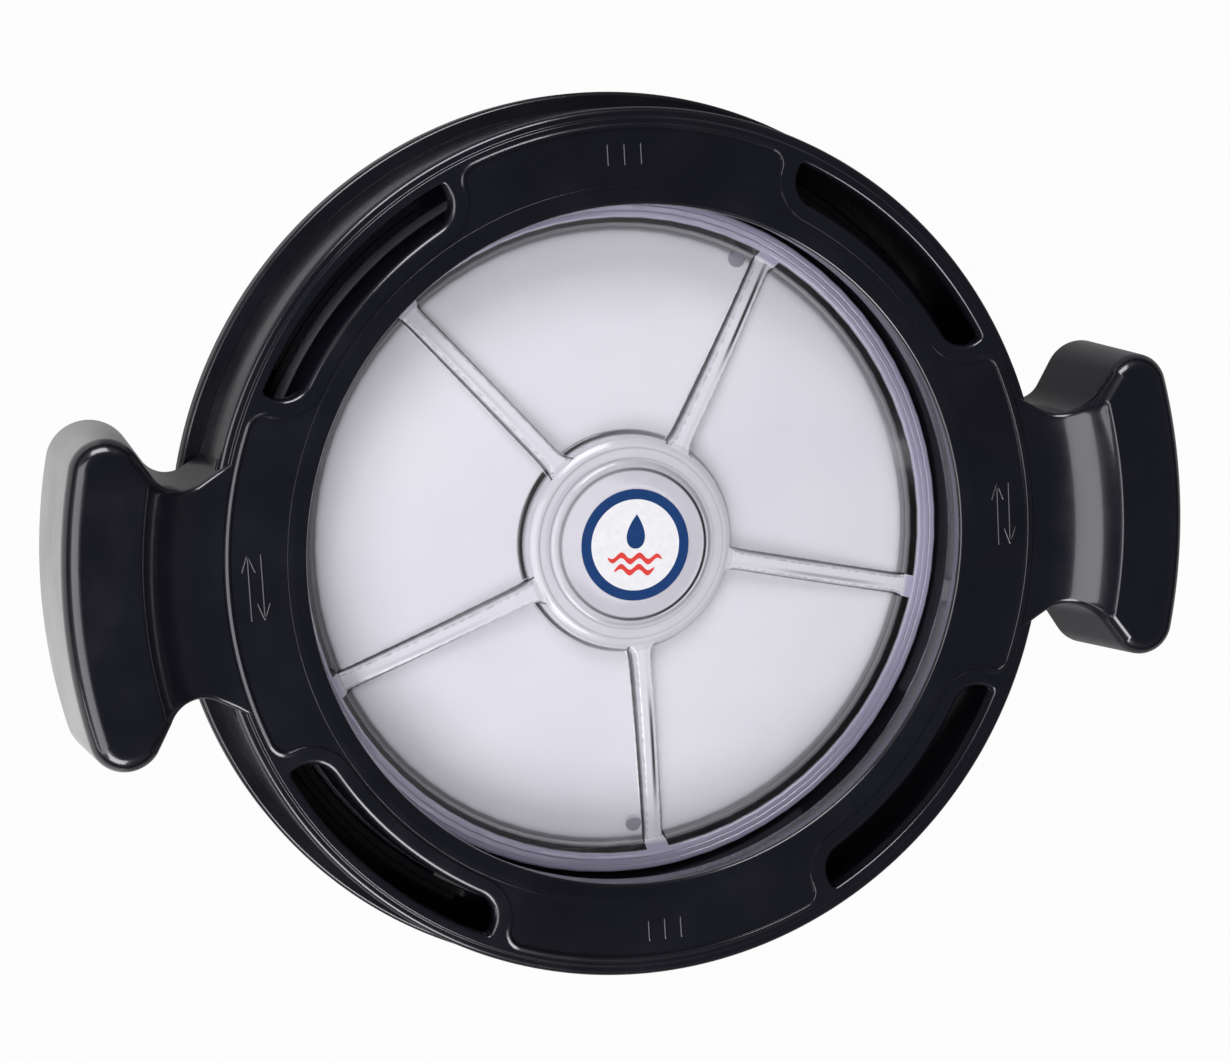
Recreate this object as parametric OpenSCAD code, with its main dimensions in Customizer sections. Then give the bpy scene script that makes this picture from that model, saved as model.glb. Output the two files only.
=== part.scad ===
// Lid and two-piece locking clamp of a pump strainer pot.
// The ramp ring drops over the pot's neck, the clear lid and its O-ring stand
// in the mouth, and the cam ring turns on the ramps and presses the lid down.
// Frame: +Z up, ring axis on Z, underside of the ramp ring at Z = 0,
// handles of the cam ring along X.

/* [Ring sizes] */
// Radius of the cam ring's outer wall
ring_r = 115.2; // [114.6:0.1:115.8]
// Radius of the opening that shows the lid
opening_r = 89.5; // [88.5:0.1:90.3]
// Height of the cam ring's top face over the base
ring_top = 36; // [35.5:0.1:37]
// Thickness of the cam ring's top plate
plate_t = 4; // [3.5:0.1:4.5]
// Thickness of the cam ring's outer wall
skirt_t = 2.8; // [2.4:0.1:3]

/* [Slots and panels] */
// Half of the angle that a slot spans
slot_half = 18.7; // [16:0.1:19.5]
// Radius of a slot's inner edge
slot_in = 100.3; // [99.8:0.1:101]
// Radius of a slot's outer edge
slot_out = 109.4; // [108.5:0.1:110]
// Half of the angle that a recessed panel spans
panel_half = 21.5; // [20:0.1:22.5]
// Radius of a panel's inner border
panel_in = 95.4; // [95:0.1:96]
// Depth of a recessed panel
panel_depth = 0.6; // [0.3:0.1:1]

/* [Handles] */
// Distance from the axis to a handle's outer edge
grip_r = 152; // [150:0.5:155]
// Height of a grip's top face
grip_top = 47; // [45:0.5:49]
// Height of a handle's lower edge
grip_foot = 10; // [9:0.5:12]
// Radius of a grip's rounded ends
grip_end_r = 9; // [8:0.5:10]
// Wall thickness of the hollow handle
handle_wall = 3; // [2.5:0.1:3.5]
// Outward draft of the handle's walls, from top to foot
handle_flare = 2; // [0:0.1:2.5]

/* [Cam and ramps] */
// Number of ramps, and of cam lugs
ramps = 4; // [4]
// Rise of the ramps for each degree of turn
lead = 0.07; // [0.05:0.005:0.08]
// Angle of the handle's travel from locked to free
turn = 35; // [30:1:35]
// Start of the first ramp, as an angle about the axis
ramp_start = 190; // [188:1:192]
// Angle that one ramp covers
ramp_span = 50; // [48:1:50]
// Gap that parts keep between them when locked
gap = 0.3; // [0.2:0.05:0.4]

/* [Ramp ring] */
// Outer radius of the ramp ring's flange
flange_r = 119.4; // [118:0.1:121]
// Thickness of the flange
flange_t = 6; // [5:0.1:6.2]
// Inner radius of the ramp ring's wall
wall_in = 102.8; // [102.6:0.1:103]
// Height of the ramps' flat tops
ramp_top = 17.5; // [17:0.1:18]
// Inner radius of the lugs that hold the ring on the pot
bayonet_in = 96; // [95:0.5:98]

/* [Lid] */
// Outer radius of the lid's flange
lid_r = 100; // [99:0.5:101]
// Radius of the spigot that stands in the pot's mouth
spigot_r = 91; // [90.5:0.1:91.2]
// Number of ribs on the dome
rib_count = 5; // [3:1:8]
// Width of a rib at its foot
rib_w = 5.6; // [4:0.1:8]
// Direction of the first rib
rib_start = 57.75; // [0:0.25:72]
// Thickness of the dome
dome_t = 4; // [3:0.1:5]
// Height of the hub's flat top
hub_top = 26.2; // [25:0.1:28]
// Radius of the hub's flat top
hub_r = 19.9; // [18:0.1:22]

/* [Seal and label] */
// Radius of the O-ring's section
seal_r = 2.65; // [2:0.05:2.75]
// Radius of the round label
label_r = 14.9; // [10:0.1:17]
// Thickness of the label
label_t = 0.3; // [0.2:0.1:0.5]

/* [Hidden] */
$fn = 128;
eps = 0.5;

// Cam ring
shoulder_r = ring_r - 3.9;
shoulder_run = 1.1;
shoulder_step = 0.6;
shoulder_fillet = 2.2;
skirt_draft = 0.5;
skirt_in = ring_r - skirt_t;
skirt_foot = 6.7;
mould_step_z = 21;
mould_step = 0.4;
plate_z = ring_top - plate_t;
lip_foot = 24.5;
lip_step_z = 29.7;
lip_step = 0.5;
lip_out = opening_r + 2.5;
edge_fillet = 0.8;
press_in = 96.2;
press_foot = 13.3;
press_flare = 1.9;
slot_corner = 7;
slot_round = 1.6;
panel_out = slot_out + 0.1;
panel_corner = 3;
panel_flare = 3.8;
rib_t = 2.2;
panel_rib_foot = 18.5;
rib_angles = [-20, -10, 0, 10, 20];

// Cam lugs and ramps
lug_in = 105.3;
// Turned free, a lug stands this many degrees past the end of its ramp
lug_clear = 3;
lug_start = ramp_start + ramp_span + lug_clear - turn;
lug_span = 35;
ramp_low = 8.2;
ramp_out = 107;
ramp_inset = 0.2;
ramp_step = 0.4;
wall_out = 105;
wall_low = 8;

// Handles
neck_r = 9.4;
neck_c = [119.7, 35.9];
end_angle = 13.3;
neck_angle = 18;
lobe_c = (grip_r - grip_end_r) * [cos(end_angle), sin(end_angle)];
flank_turn = acos((neck_r + grip_end_r) / norm(neck_c - lobe_c));
// Direction that a flank faces: it touches the lobe's circle and the notch's
flank_angle = atan2(neck_c[1] - lobe_c[1], neck_c[0] - lobe_c[0]) - flank_turn;
flank_length = norm(neck_c - lobe_c) * sin(flank_turn);
pocket_angle = 10.4;
grip_round = 4;
scoop_start = 113;
scoop_end = 133;
root_r = scoop_end + handle_wall - 0.3;
scoop_rise = grip_top - ring_top;
scoop_r = (pow(scoop_end - scoop_start, 2) + pow(scoop_rise, 2)) / (2 * scoop_rise);
handle_in = 113.4;

// Ramp ring
groove_in = 107.5;
groove_out = 116.9;
groove_h = 3.6;
flange_rib_step = 15;
window_in = 105.3;
window_out = 108.2;
bayonet_h = 4;
bayonet_span = 26;
bayonet_start = 32;

// Lid
curb_in = 85;
curb_out = 91;
curb_top = 15;
lid_foot = 9;
lid_flange_top = 13;
spigot_t = 4.35;
spigot_foot = 0.6;
spigot_band = 3;
gland_r = spigot_r - 0.8;
floor_edge_z = 10;
floor_hub_z = 17.5;
rib_edge_z = 11.6;
rib_hub_z = 22.5;
hub_foot_r = 28.2;
hub_pocket_r = 16;
boss_r = 2.4;
boss_h = 1.2;
boss_places = [[82, 62.6], [79, -90]];

function polar(r, a) = [r * cos(a), r * sin(a)];
function arc(c, r, from, to, n) =
    [for (i = [0:n]) c + polar(r, from + (to - from) * i / n)];
// Radius of the ball whose cap falls from height z1 at radius r1 to z2 at r2
function cap_r(r1, z1, r2, z2) =
    let (k = (r2 * r2 - r1 * r1 + z2 * z2 - z1 * z1) / (2 * (z2 - z1)))
    sqrt(r1 * r1 + pow(z1 - k, 2));
function cap_c(r1, z1, r2, z2) =
    (r2 * r2 - r1 * r1 + z2 * z2 - z1 * z1) / (2 * (z2 - z1));

// Copies of a shape, equally spaced about the axis
module around(n, first = 0) {
    for (i = [0:n - 1]) rotate([0, 0, first + i * 360 / n]) children();
}

// Block between two radii and two angles
module sector(r1, r2, a1, a2, z, h) {
    rotate([0, 0, a1])
        rotate_extrude(angle = a2 - a1)
            translate([r1, z]) square([r2 - r1, h]);
}

// Sector about the X axis with its corners rounded on the inside, the outside or both
module rounded_sector(r1, r2, half, in_r, out_r, z, h) {
    in_a = asin(in_r / (r1 + in_r));
    out_a = asin(out_r / (r2 - out_r));
    difference() {
        sector(r1, r2, -half, half, z, h);
        for (side = [-1, 1]) {
            if (in_r > 0)
                end_corner([r1 - eps, r1 + in_r], side, half, in_a, in_r, r1 + in_r, z, h);
            if (out_r > 0)
                end_corner([r2 - out_r, r2 + eps], side, half, out_a, out_r, r2 - out_r, z, h);
        }
    }
}

// What rounding one corner of a sector takes away, between two radii
module end_corner(radii, side, half, a, r, centre_r, z, h) {
    from = side * (half - a);
    to = side * (half + 1);
    difference() {
        sector(radii[0], radii[1], min(from, to), max(from, to), z - eps, h + 2 * eps);
        rotate([0, 0, from])
            translate([centre_r, 0, z - 2 * eps])
                cylinder(r = r, h = h + 4 * eps);
    }
}

// Block between two radii and two angles whose floor and roof climb evenly with the angle
module climbing_block(r1, r2, angles, floors, roofs) {
    n = 12;
    steps = [for (i = [0:n]) i / n];
    points = [
        for (t = steps)
            let (a = angles[0] + (angles[1] - angles[0]) * t)
            let (f = floors[0] + (floors[1] - floors[0]) * t)
            let (g = roofs[0] + (roofs[1] - roofs[0]) * t)
            for (c = [[r1, f], [r2, f], [r2, g], [r1, g]])
                [c[0] * cos(a), c[0] * sin(a), c[1]]
    ];
    sides = [
        for (i = [0:n - 1])
            for (j = [0:3])
                let (k = (j + 1) % 4)
                [4 * i + j, 4 * i + k, 4 * i + 4 + k, 4 * i + 4 + j]
    ];
    ends = [[3, 2, 1, 0], [4 * n, 4 * n + 1, 4 * n + 2, 4 * n + 3]];
    polyhedron(points, concat(ends, sides), convexity = 4);
}

// ---- cam ring ----

module cam_ring_section() {
    shoulder_z = ring_top - shoulder_step;
    shoulder_edge = arc(
        [ring_r - skirt_draft - shoulder_fillet, shoulder_z - shoulder_fillet],
        shoulder_fillet, 90, 0, 6
    );
    lip_edge = arc([opening_r + edge_fillet, ring_top - edge_fillet], edge_fillet, 180, 90, 4);
    polygon(concat(
        [
            [opening_r + lip_step, lip_foot],
            [opening_r + lip_step, lip_step_z],
            [opening_r, lip_step_z + lip_step]
        ],
        lip_edge,
        [[shoulder_r, ring_top], [shoulder_r + shoulder_run, shoulder_z]],
        shoulder_edge,
        [
            [ring_r, skirt_foot],
            [skirt_in + mould_step, skirt_foot],
            [skirt_in + mould_step, mould_step_z],
            [skirt_in, mould_step_z + mould_step],
            [skirt_in, plate_z],
            [slot_in + 0.3, plate_z],
            [slot_in + press_flare, press_foot],
            [press_in, press_foot],
            [press_in, plate_z],
            [lip_out, plate_z],
            [lip_out, lip_foot]
        ]
    ));
}

module slot() {
    rounded_sector(slot_in, slot_out, slot_half, slot_corner, 0, plate_z - eps, plate_t + 2 * eps);
    rotate([0, 0, -slot_half + 4.2])
        rotate_extrude(angle = 2 * slot_half - 8.4)
            difference() {
                translate([slot_in - slot_round, ring_top - slot_round]) square(slot_round + eps);
                translate([slot_in - slot_round, ring_top - slot_round]) circle(r = slot_round);
            }
}

module panel() {
    z = ring_top - panel_depth;
    flare_c = panel_in + panel_flare;
    flare_end = panel_half + asin(panel_flare / flare_c);
    rounded_sector(panel_in, panel_out, panel_half, 0, panel_corner, z, panel_depth + eps);
    for (side = [0, 1]) mirror([0, side, 0])
        difference() {
            sector(
                panel_in, flare_c, panel_half - 0.2, flare_end - 0.4,
                z, panel_depth + eps
            );
            rotate([0, 0, flare_end])
                translate([flare_c, 0, z - eps])
                    cylinder(r = panel_flare, h = panel_depth + 3 * eps);
        }
}

module panel_ribs() {
    for (a = rib_angles)
        rotate([0, 0, a])
            translate([slot_in - eps, -rib_t / 2, panel_rib_foot])
                cube([skirt_in - slot_in + 2 * eps, rib_t, plate_z - panel_rib_foot + eps]);
}

// Lug that slides under a ramp; its roof keeps the gap below the ramp's underside
module cam_lug() {
    roof = ramp_low + lead * (lug_start - ramp_start) - gap;
    climbing_block(
        lug_in, skirt_in + 1.2, [lug_start, lug_start + lug_span],
        [skirt_foot + 0.2, skirt_foot + 0.2], [roof, roof + lead * lug_span]
    );
}

// Upper surface of a handle through the ring axis, t below the skin: flat neck, then finger scoop
function scoop_line(t) =
    let (centre = [scoop_start, ring_top + scoop_r])
    arc(centre, scoop_r + t, 270, 270 + acos((centre[1] - grip_top + t) / (scoop_r + t)), 10);

module handle_section() {
    polygon(concat(
        [
            [handle_in, grip_foot], [handle_in, plate_z + 1],
            [handle_in - 2, plate_z + 2], [handle_in - 2, ring_top]
        ],
        scoop_line(0),
        arc([grip_r - grip_round, grip_top - grip_round], grip_round, 90, 0, 5),
        [[grip_r + handle_flare, grip_foot]]
    ));
}

// Half-round end of a grip
module grip_end() {
    rotate([0, 0, end_angle])
        translate([grip_r - grip_end_r, 0, 0])
            rotate_extrude(angle = 180)
                polygon(concat(
                    [[0, grip_foot], [0, grip_top]],
                    arc([grip_end_r - grip_round, grip_top - grip_round], grip_round, 90, 0, 5),
                    [[grip_end_r + handle_flare, grip_foot]]
                ));
}

// Round notch beside the neck
module neck_notch() {
    draft = handle_flare / (grip_top - grip_foot);
    translate([neck_c[0], neck_c[1], grip_foot - 2])
        cylinder(r1 = neck_r - handle_flare - 2 * draft, r2 = neck_r, h = grip_top - grip_foot + 2);
}

// What a flank's drafted plane takes away, between the notch and the grip's end
module flank() {
    draft = atan2(handle_flare, grip_top - grip_foot);
    translate([lobe_c[0], lobe_c[1], grip_top])
        rotate([0, 0, flank_angle])
            translate([grip_end_r + 0.05, 0, 0])
                rotate([0, -draft, 0])
                    translate([0, -8, -grip_top]) cube([12, flank_length + 8.3, grip_top + 5]);
}

// Hollow of the handle, open below, with two ribs left standing across it
module handle_pocket() {
    cell_out = grip_r - handle_wall - 1;
    low = grip_foot - eps;
    difference() {
        union() {
            rotate([0, 0, -pocket_angle])
                rotate_extrude(angle = 2 * pocket_angle)
                    polygon(concat(
                        [[ring_r + 1, low], [ring_r + 1, ring_top - handle_wall]],
                        scoop_line(handle_wall),
                        [[cell_out - 1, grip_top - handle_wall], [cell_out - 1, low]]
                    ));
            sector(
                scoop_end + handle_wall, cell_out, -end_angle - 1.7, end_angle + 1.7,
                low, grip_top - handle_wall - 1 - low
            );
        }
        for (y = [-13, 13]) translate([ring_r - eps, y - rib_t / 2, grip_foot + 3])
            cube([grip_r - ring_r, rib_t, grip_top]);
    }
}

module handle() {
    difference() {
        union() {
            rotate([0, 0, -end_angle]) rotate_extrude(angle = 2 * end_angle) handle_section();
            for (side = [0, 1]) mirror([0, side, 0]) grip_end();
            // Root of the neck, wide enough for the notches and the flanks to cut
            rotate([0, 0, -neck_angle])
                rotate_extrude(angle = 2 * neck_angle)
                    intersection() {
                        handle_section();
                        translate([0, grip_foot + 0.4])
                            square([root_r, grip_top - grip_foot - 0.6]);
                    }
        }
        for (side = [0, 1]) mirror([0, side, 0]) {
            neck_notch();
            flank();
        }
        handle_pocket();
    }
}

module cam_ring() {
    color("#17181c") {
        difference() {
            rotate_extrude() cam_ring_section();
            around(ramps, 45) slot();
            around(4) panel();
        }
        around(4) panel_ribs();
        around(ramps) cam_lug();
        around(2) handle();
    }
}

// ---- ramp ring ----

// Ledge of a ramp, a little short of the ends of its wall
module ramp() {
    from = ramp_start + ramp_inset;
    to = ramp_start + ramp_span - ramp_inset;
    low = ramp_low + lead * ramp_inset;
    climbing_block(
        wall_out - 0.6, ramp_out, [from, to],
        [low, low + lead * (to - from)], [ramp_top - ramp_step, ramp_top - ramp_step]
    );
}

module ramp_ring_section() {
    polygon([
        [wall_in, 0], [groove_in, 0], [groove_in, groove_h], [groove_out, groove_h],
        [groove_out, 0], [flange_r, 0], [flange_r, flange_t - 1.2],
        [flange_r - 0.25, flange_t - 0.3], [flange_r - 0.6, flange_t],
        [wall_out, flange_t], [wall_out, ramp_top], [wall_in, ramp_top]
    ]);
}

module ramp_ring() {
    ramp_end = ramp_start + ramp_span;
    color("#121317") {
        difference() {
            union() {
                rotate_extrude() ramp_ring_section();
                around(360 / flange_rib_step)
                    translate([groove_in - eps, -rib_t / 2, 0.2])
                        cube([groove_out - groove_in + 2 * eps, rib_t, groove_h]);
                around(ramps)
                    sector(
                        bayonet_in, wall_in + eps, bayonet_start,
                        bayonet_start + bayonet_span, 0.2, bayonet_h - 0.2
                    );
            }
            // Gaps between the ramps, where the lugs come down
            around(ramps)
                sector(
                    wall_in - eps, wall_out + eps, ramp_end, ramp_start + 360 / ramps,
                    wall_low, ramp_top - wall_low + eps
                );
            // Windows under the ramps, where the mould reaches their undersides
            around(ramps)
                sector(
                    window_in, window_out, ramp_start - 1, ramp_end,
                    -eps, flange_t + 2 * eps
                );
        }
        around(ramps) ramp();
    }
}

// ---- lid ----

// Everything below a shallow cap that passes through two points
module under_cap(r1, z1, r2, z2, floor_z) {
    intersection() {
        translate([0, cap_c(r1, z1, r2, z2)]) circle(r = cap_r(r1, z1, r2, z2), $fn = 720);
        translate([0, floor_z]) square([r2, 40]);
    }
}

module lid_section() {
    difference() {
        union() {
            under_cap(hub_foot_r, floor_hub_z, curb_in + 1, floor_edge_z - 0.1, 0);
            polygon([
                [0, 10], [hub_foot_r, 10], [hub_foot_r, 21], [hub_foot_r - 0.7, 22.4],
                [hub_foot_r - 2.2, 23.1], [hub_r + 1.9, 23.9], [hub_r + 0.9, 24.6],
                [hub_r + 0.3, hub_top - 0.4], [hub_r - 0.3, hub_top], [0, hub_top]
            ]);
            polygon([
                [curb_in - 1, lid_foot], [curb_in, curb_top - 0.8], [curb_in + 0.8, curb_top],
                [curb_out - 0.8, curb_top], [curb_out, curb_top - 0.8], [curb_out + 0.2, lid_foot]
            ]);
            polygon([
                [curb_in, lid_foot], [lid_r, lid_foot], [lid_r, lid_flange_top - 0.5],
                [lid_r - 0.5, lid_flange_top], [curb_in, lid_flange_top]
            ]);
            polygon([
                [spigot_r - spigot_t, spigot_foot], [spigot_r, spigot_foot],
                [spigot_r, spigot_foot + spigot_band], [gland_r, spigot_foot + spigot_band],
                [gland_r, lid_foot + 1], [spigot_r - spigot_t, lid_foot + 1]
            ]);
        }
        intersection() {
            translate([0, -dome_t])
                under_cap(hub_foot_r, floor_hub_z, curb_in, floor_edge_z, -5);
            square([spigot_r - spigot_t, 60]);
        }
        polygon([
            [0, 0], [hub_pocket_r + 5, 0], [hub_pocket_r + 5, 17],
            [hub_pocket_r, hub_top - dome_t], [0, hub_top - dome_t]
        ]);
    }
}

module lid_ribs() {
    slope = 0.8;
    intersection() {
        around(rib_count, rib_start)
            rotate([90, 0, 90])
                linear_extrude(height = curb_in + 1)
                    polygon([
                        [-rib_w / 2, 8], [rib_w / 2, 8],
                        [rib_w / 2 - slope, 24], [slope - rib_w / 2, 24]
                    ]);
        rotate_extrude()
            difference() {
                under_cap(hub_foot_r, rib_hub_z, curb_in + 0.5, rib_edge_z, 0);
                translate([0, -2]) under_cap(hub_foot_r, floor_hub_z, curb_in + 1, floor_edge_z, -5);
                square([hub_foot_r - 2, 60]);
            }
    }
}

module lid() {
    color("#d9d9e6", 0.5) {
        rotate_extrude() lid_section();
        lid_ribs();
        for (b = boss_places)
            translate([b[0] * cos(b[1]), b[0] * sin(b[1]), floor_edge_z - 1])
                cylinder(r = boss_r, h = 1 + boss_h);
    }
}

// ---- seal and label ----

module lid_seal() {
    color("#202024")
    rotate_extrude() translate([gland_r + seal_r, lid_foot - seal_r]) circle(r = seal_r, $fn = 64);
}

module label() {
    color("#f4f6fa")
    translate([0, 0, hub_top]) cylinder(r = label_r, h = label_t);
}

cam_ring();
ramp_ring();
lid();
lid_seal();
label();
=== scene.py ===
"""Lid and locking clamp of a pump strainer pot: a clear domed lid under a black two-piece ring.

Shapes are worked out in millimetres about the ring axis Z, with the handles along X, and go
into the meshes in metres. Each surface is a grid of two parameters or a section carried along
a closed line; flat faces between closed lines are filled with triangles.
"""
from math import cos, radians, sin

import bmesh
import bpy
import numpy as np
from mathutils import Matrix, Vector
from mathutils.geometry import delaunay_2d_cdt


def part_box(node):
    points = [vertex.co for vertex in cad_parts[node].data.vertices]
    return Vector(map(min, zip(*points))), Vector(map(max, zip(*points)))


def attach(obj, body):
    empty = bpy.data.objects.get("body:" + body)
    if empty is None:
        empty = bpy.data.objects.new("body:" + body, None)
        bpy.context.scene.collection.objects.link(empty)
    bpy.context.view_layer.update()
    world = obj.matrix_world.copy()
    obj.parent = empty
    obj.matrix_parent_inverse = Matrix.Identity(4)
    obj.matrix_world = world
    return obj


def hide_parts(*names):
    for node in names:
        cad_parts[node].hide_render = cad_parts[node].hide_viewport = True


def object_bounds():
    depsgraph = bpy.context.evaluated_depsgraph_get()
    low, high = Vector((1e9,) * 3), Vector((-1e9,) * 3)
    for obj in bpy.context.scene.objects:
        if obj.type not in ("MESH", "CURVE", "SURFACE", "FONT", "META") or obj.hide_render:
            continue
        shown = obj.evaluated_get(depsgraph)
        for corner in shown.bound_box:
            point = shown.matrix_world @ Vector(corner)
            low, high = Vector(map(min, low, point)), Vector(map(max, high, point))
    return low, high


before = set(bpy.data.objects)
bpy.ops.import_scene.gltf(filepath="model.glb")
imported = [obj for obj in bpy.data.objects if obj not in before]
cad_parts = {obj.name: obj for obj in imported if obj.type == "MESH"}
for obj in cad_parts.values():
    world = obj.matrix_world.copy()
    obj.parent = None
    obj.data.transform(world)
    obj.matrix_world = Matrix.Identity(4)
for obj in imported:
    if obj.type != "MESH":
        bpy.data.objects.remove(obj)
CAD_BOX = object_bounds()
MM = 0.001


def reach(node, axis, end=1):
    """How far a CAD node reaches along an axis, in millimetres."""
    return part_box(node)[end][axis] / MM


# ---- sizes, in millimetres and degrees ----

FLANGE_R = reach("ramp_ring", 0)
GRIP_TOP = reach("cam_ring", 2)
SKIRT_FOOT = reach("cam_ring", 2, 0)
LID_R = reach("lid", 0)
LID_LOW = reach("lid", 2, 0)
HUB_TOP = reach("lid", 2)
LABEL_R = reach("label", 0)
LABEL_TOP = reach("label", 2)

# Cam ring: top, skirt, and the wall that presses on the lid's flange
COLUMNS = 360
RING_TOP = GRIP_TOP - 11
RING_R = FLANGE_R - 4.2
OPENING_R = RING_R - 25.7
PLATE_LOW = RING_TOP - 4
INNER_LOW = 24.5
SKIRT_IN = RING_R - 2.8
TOP_OUT = RING_R - 3.7
PRESS_FOOT = 13.3
PRESS_IN = 96.2
PRESS_OUT = 102.5
PRESS_TOP_R = 99.9

# Its sunk panels and the marks on them
RECESS_FLOOR = RING_TOP - 0.6
RECESS_IN = 95.8
RECESS_OUT = 109.4
BORDER_ROUND = 4.0
RIM_OUT = 95.0
RIM_TOP = RECESS_FLOOR + 0.22
PANEL_MIDDLE = 102.5
MARK_RISE = 0.2
MARK_WIDTH = 0.8

# Its slots
SLOT_HALF = 18.7
SLOT_IN = 100.3
SLOT_OUT = 109.4
SLOT_CORNER = 7.0
SLOT_MIDDLE = (SLOT_IN + SLOT_OUT) / 2

# Its handles
GRIP_R = 152.0
GRIP_FOOT = 10.0
FLARE = 1.9
HANDLE_WALL = 3.0
HANDLE_PROUD = 0.015
ROOT_R = TOP_OUT - 0.5
BEHIND_SKIRT = -3.2
ROOT_BACK = -3.9
LOBE_C = (139.3, 32.5)
LOBE_R = 9.0
NOTCH_C = (119.7, 35.9)
NOTCH_R = 9.4
SCOOP_START = 113.0
SCOOP_END = 133.0
ARC_STEPS = 56

# Lugs, and the ramp ring's walls, ramps and bayonet: where they start and end in a quarter
WALL_IN = 102.8
RAMP_TOP = 17.5
LUG_FLOOR = 6.9
LUG_SPAN = (208, 243)
WALL_SPAN = (186, 244)
RAMP_SPAN = (190.2, 239.8)
BAYONET_SPAN = (32, 58)

# Lid and label
HUB_FOOT = 28.2
CURB_IN = 85.0
CURB_GROOVES = (88.1, 89.7)
FLANGE_EDGE = 96.4
RIBS = 5
RIB_START = 57.75
LABEL_THICK = 0.3
LABEL_LEAN = -6
WAVE_REACH = 7.6

# Colour of the black plastic, and tints of the clear one
BLACK = (0.0062, 0.0066, 0.0105)
# Painted shade: near black for the clear lid's walls, flange and spigot where they lie under the ring
CLEAR_SHADE_UNDER_RING = (0.01, 0.01, 0.013)
CLEAR_RIM = (0.6, 0.6, 0.7)
CLEAR_BOSS = (0.42, 0.42, 0.46)
CURB_LILAC = (0.62, 0.6, 0.76)


# ---- lines in a plane ----

def arc(centre, radius, start, end, steps):
    """Points at equal steps of angle, in degrees, on a circle about a centre."""
    turn = np.radians(np.linspace(start, end, steps + 1))
    return np.stack([centre[0] + radius * np.cos(turn), centre[1] + radius * np.sin(turn)], 1)


def circle(radius, steps=COLUMNS):
    """A closed circle about the ring axis, without its first point again at the end."""
    return arc((0, 0), radius, 0, 360, steps)[:-1]


def rounded(corners, radii, steps=4):
    """A line of corners with each inner corner swapped for an arc tangent to both its sides.

    The arc starts and ends radius / tan(half the angle between the sides) from the corner. Its
    points are those of a quadratic curve whose corner is weighted by the sine of that half, which
    makes it a true arc.
    """
    corners = np.asarray(corners, float)
    line = [corners[:1]]
    share = np.linspace(0, 1, steps + 1)[:, None]
    for before, corner, after, radius in zip(corners, corners[1:], corners[2:], radii):
        back = before - corner
        ahead = after - corner
        back /= np.hypot(*back)
        ahead /= np.hypot(*ahead)
        if radius == 0:
            line.append(corner[None])
            continue
        half = np.arccos(np.clip(back @ ahead, -1, 1)) / 2
        cut = radius / np.tan(half)
        a, b = corner + cut * back, corner + cut * ahead
        pull = 2 * share * (1 - share) * max(np.sin(half), 0.2)
        blend = (1 - share) ** 2 * a + pull * corner + share ** 2 * b
        blend /= (1 - share) ** 2 + pull + share ** 2
        line.append(blend)
    line.append(corners[-1:])
    return np.vstack(line)


def divided(line, ahead, length, step):
    """Points evenly between each point and the one ahead, as many as the length needs."""
    count = np.maximum(1, np.ceil(length / step).astype(int))
    index = np.repeat(np.arange(len(line)), count)
    place = np.arange(count.sum()) - np.repeat(np.cumsum(count) - count, count)
    share = (place / count[index])[:, None]
    return line[index] * (1 - share) + ahead[index] * share


def spaced(line, step):
    """A closed line with extra points, so that none is further than step from the next."""
    ahead = np.roll(line, -1, 0)
    return divided(line, ahead, np.hypot(*(ahead - line).T), step)


def wrapped(line, angle, radius):
    """A line drawn as (length along a circle of the radius, distance from the axis), bent round it."""
    turn = line[:, 0] / radius + radians(angle)
    return np.stack([line[:, 1] * np.cos(turn), line[:, 1] * np.sin(turn)], 1)


def swept(section, directions):
    """A section of (radius, height) set out along each of the directions, as rows of points."""
    radius, height = np.asarray(section, float).T[:, :, None, None]
    plan = radius * directions
    return np.concatenate([plan, np.broadcast_to(height, plan.shape[:2] + (1,))], -1)


def side_of(line):
    """Unit vectors square to a closed line that runs anticlockwise, pointing out of it."""
    along = np.roll(line, -1, 0) - np.roll(line, 1, 0)
    along /= np.hypot(*along.T)[:, None]
    return np.stack([along[:, 1], -along[:, 0]], 1)


# ---- surfaces ----

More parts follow.
